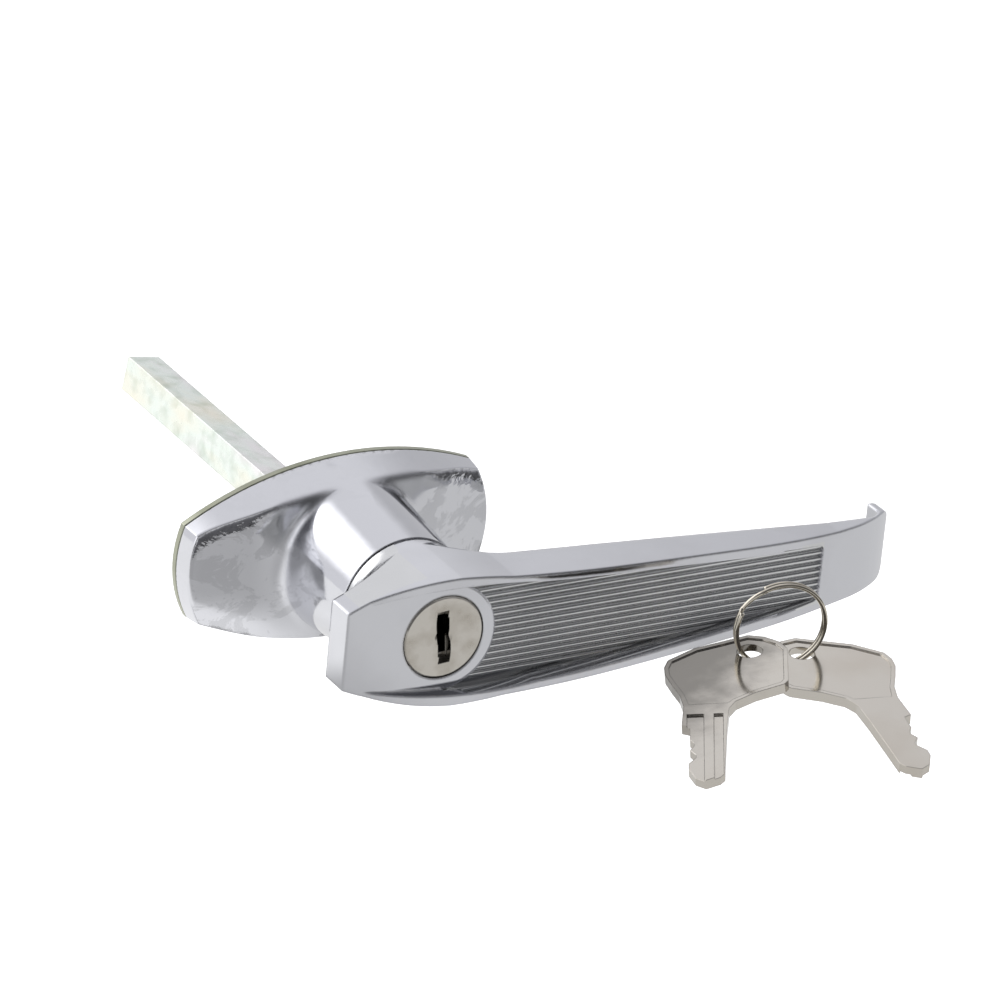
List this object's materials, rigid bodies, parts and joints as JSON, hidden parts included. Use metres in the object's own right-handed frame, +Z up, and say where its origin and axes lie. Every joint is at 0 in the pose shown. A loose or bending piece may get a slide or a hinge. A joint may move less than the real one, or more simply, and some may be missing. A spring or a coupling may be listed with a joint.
{
  "type": "swing handle lock",
  "caption": "Locking lever handle on a boat-shaped escutcheon with a square drive spindle, a keyed cylinder in the lever's head, and a ring of keys.",
  "frame": {"origin": "where the spindle's axis meets the mounting face, the back of the back plate", "axes": "+Y along the spindle into the door, +X along the escutcheon's long axis towards the lever's tip, +Z up"},
  "size_m": [0.1557, 0.2309, 0.0388],
  "materials": {
    "chrome": "polished, bright",
    "zinc_plate": "yellowish zinc plate",
    "zinc_steel": "zinc plated, slightly iridescent",
    "nickel": "nickel plated, satin",
    "ring_wire": "nickel plated wire, polished",
    "brass": "machined",
    "steel": "bright"
  },
  "bodies": {
    "base": {"escutcheon": "chrome", "back_plate": "zinc_plate", "plate_rivets": "steel", "insert_left": "brass", "insert_right": "brass", "thrust_washer": "steel", "rear_washer": "zinc_steel"},
    "lever": {"handle": "chrome", "lock_sleeve": "brass", "sleeve_pin": "steel", "spindle": "zinc_steel", "spindle_pin": "steel", "circlip": "steel", "cone_washer": "steel"},
    "plug": {"lock_plug": "nickel", "plug_clip": "steel", "drive_pin": "steel", "wafer_springs": "steel"},
    "bolt": {"locking_bolt": "brass"},
    "keys": {"key_left": "nickel", "key_right": "nickel", "key_ring": "ring_wire"},
    "tumbler_1": {"wafer_1": "brass"},
    "tumbler_2": {"wafer_2": "brass"},
    "tumbler_3": {"wafer_3": "brass"},
    "tumbler_4": {"wafer_4": "brass"},
    "tumbler_5": {"wafer_5": "brass"}
  },
  "joints": [
    {"name": "handle_turn", "type": "hinge", "parent": "base", "child": "lever", "pos_m": [0, 0, 0], "axis": [0, 1, 0], "range_deg": [-5.1, 84.9]},
    {"name": "plug_turn", "type": "hinge", "parent": "lever", "child": "plug", "pos_m": [0, -0.04, 0], "axis": [0, 1, 0], "range_deg": [0, 90]},
    {"name": "bolt_slide", "type": "slide", "parent": "lever", "child": "bolt", "axis": [0.0889, 0, 0.996], "range_m": [0, 0.002]},
    {"name": "keys_lift", "type": "slide", "parent": "base", "child": "keys", "axis": [0, 0, 1], "range_m": [0, 0.1]},
    {"name": "wafer_slide_1", "type": "slide", "parent": "plug", "child": "tumbler_1", "axis": [0, 0, 1], "range_m": [0, 0.0008], "stiffness_N_per_m": 60},
    {"name": "wafer_slide_2", "type": "slide", "parent": "plug", "child": "tumbler_2", "axis": [0, 0, 1], "range_m": [0, 0.0008], "stiffness_N_per_m": 60},
    {"name": "wafer_slide_3", "type": "slide", "parent": "plug", "child": "tumbler_3", "axis": [0, 0, 1], "range_m": [0, 0.0008], "stiffness_N_per_m": 60},
    {"name": "wafer_slide_4", "type": "slide", "parent": "plug", "child": "tumbler_4", "axis": [0, 0, 1], "range_m": [0, 0.0008], "stiffness_N_per_m": 60},
    {"name": "wafer_slide_5", "type": "slide", "parent": "plug", "child": "tumbler_5", "axis": [0, 0, 1], "range_m": [0, 0.0008], "stiffness_N_per_m": 60}
  ],
  "couplings": [
    {"joint": "plug_turn", "follows": "bolt_slide", "rad_per_m": 785.4}
  ]
}
